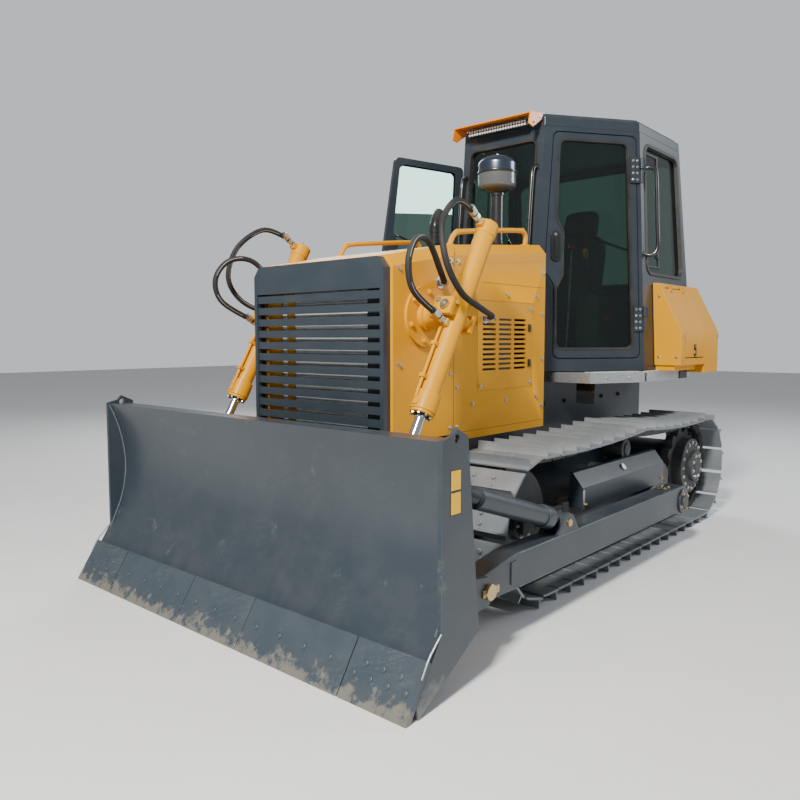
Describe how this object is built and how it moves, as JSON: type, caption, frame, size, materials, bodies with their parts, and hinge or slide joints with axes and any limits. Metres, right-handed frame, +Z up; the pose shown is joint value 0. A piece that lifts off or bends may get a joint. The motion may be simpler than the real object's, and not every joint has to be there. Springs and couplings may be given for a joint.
{
  "type": "crawler bulldozer",
  "caption": "Compact crawler bulldozer with a straight blade on push arms, twin lift cylinders, slatted grille and an enclosed cab with one side door open.",
  "frame": {"origin": "on the ground, under the middle of the machine's length and width", "axes": "+Z up, -Y towards the blade, +X towards the machine's left side"},
  "size_m": [2.6, 4.363, 2.98],
  "materials": {
    "yellow_paint": "gloss",
    "slate_paint": "satin",
    "black_paint": "satin",
    "track_steel": "satin",
    "cast_iron": "matte",
    "chrome": "polished",
    "aluminium": "satin",
    "orange_paint": "gloss",
    "tinted_glass": "polished",
    "hose_rubber": "matte",
    "seat_vinyl": "satin",
    "black_plastic": "matte"
  },
  "bodies": {
    "chassis": {"air_precleaner": "black_paint", "cab_roof": "slate_paint", "cab_shell": "slate_paint", "console_left": "black_plastic", "console_right": "black_plastic", "engine_block": "cast_iron", "engine_hood": "yellow_paint", "exhaust_stack": "black_paint", "front_visor": "orange_paint", "fuel_tank_right": "yellow_paint", "hood_side_left": "yellow_paint", "hood_side_right": "yellow_paint", "hose_low_left": "hose_rubber", "hose_low_right": "hose_rubber", "hose_top_left": "hose_rubber", "hose_top_right": "hose_rubber", "idler_left": "cast_iron", "idler_right": "cast_iron", "instrument_console": "black_plastic", "light_bar": "black_paint", "main_frame": "slate_paint", "operator_seat": "seat_vinyl", "platform": "aluminium", "quarter_window_left": "tinted_glass", "quarter_window_right": "tinted_glass", "radiator_core": "aluminium", "radiator_grille": "slate_paint", "radiator_guard": "yellow_paint", "rear_visor": "orange_paint", "rear_window": "tinted_glass", "side_box_left": "yellow_paint", "spring_cover_left": "slate_paint", "spring_cover_right": "slate_paint", "sprocket_left": "cast_iron", "sprocket_right": "cast_iron", "track_frame_left": "cast_iron", "track_frame_right": "cast_iron", "track_left": "track_steel", "track_right": "track_steel", "windshield": "tinted_glass"},
    "blade_frame": {"blade": "slate_paint", "cutting_edge": "track_steel", "end_bit_left": "track_steel", "end_bit_right": "track_steel", "push_arm_left": "slate_paint", "push_arm_right": "slate_paint", "tilt_brace_left": "slate_paint", "tilt_brace_right": "slate_paint"},
    "hatch_left": {"hatch_left": "yellow_paint"},
    "door_left": {"door_left": "slate_paint", "door_glass_left": "tinted_glass"},
    "lift_cylinder_left": {"lift_cylinder_left": "yellow_paint", "lift_yoke_left": "yellow_paint"},
    "lift_rod_left": {"lift_rod_left": "chrome"},
    "door_right": {"door_right": "slate_paint", "door_glass_right": "tinted_glass"},
    "lift_cylinder_right": {"lift_cylinder_right": "yellow_paint", "lift_yoke_right": "yellow_paint"},
    "lift_rod_right": {"lift_rod_right": "chrome"}
  },
  "joints": [
    {"name": "blade_lift", "type": "hinge", "parent": "chassis", "child": "blade_frame", "pos_m": [0, 0.8215, 0.333], "axis": [-1, 0, 0], "range_deg": [-8, 14]},
    {"name": "lift_cylinder_left", "type": "hinge", "parent": "chassis", "child": "lift_cylinder_left", "pos_m": [0.74, -1.1385, 1.55], "axis": [-1, 0, 0], "range_deg": [-12, 20], "deforming": ["hose_top_left", "hose_low_left"]},
    {"name": "lift_rod_left", "type": "slide", "parent": "lift_cylinder_left", "child": "lift_rod_left", "axis": [0, -0.4971, -0.8677], "range_m": [-0.6, 0.36]},
    {"name": "lift_cylinder_right", "type": "hinge", "parent": "chassis", "child": "lift_cylinder_right", "pos_m": [-0.74, -1.1385, 1.55], "axis": [-1, 0, 0], "range_deg": [-12, 20], "deforming": ["hose_top_right", "hose_low_right"]},
    {"name": "lift_rod_right", "type": "slide", "parent": "lift_cylinder_right", "child": "lift_rod_right", "axis": [0, -0.4971, -0.8677], "range_m": [-0.6, 0.36]},
    {"name": "door_left", "type": "hinge", "parent": "chassis", "child": "door_left", "pos_m": [0.85461, 0.96642, 1.25077], "axis": [-0.0502, 0.0035, 0.9987], "range_deg": [0, 95]},
    {"name": "door_right", "type": "hinge", "parent": "chassis", "child": "door_right", "pos_m": [-0.85461, 0.96642, 1.25077], "axis": [-0.0502, -0.0035, -0.9987], "range_deg": [-60, 35]},
    {"name": "hatch_left", "type": "hinge", "parent": "chassis", "child": "hatch_left", "pos_m": [0.882, 1.4265, 1.82], "axis": [0, -1, 0], "range_deg": [0, 100]}
  ],
  "couplings": [
    {"joint": "lift_cylinder_left", "follows": "blade_lift", "ratio": 1.04},
    {"joint": "lift_rod_left", "follows": "blade_lift", "m_per_rad": -2.29},
    {"joint": "lift_cylinder_right", "follows": "blade_lift", "ratio": 1.04},
    {"joint": "lift_rod_right", "follows": "blade_lift", "m_per_rad": -2.29}
  ]
}
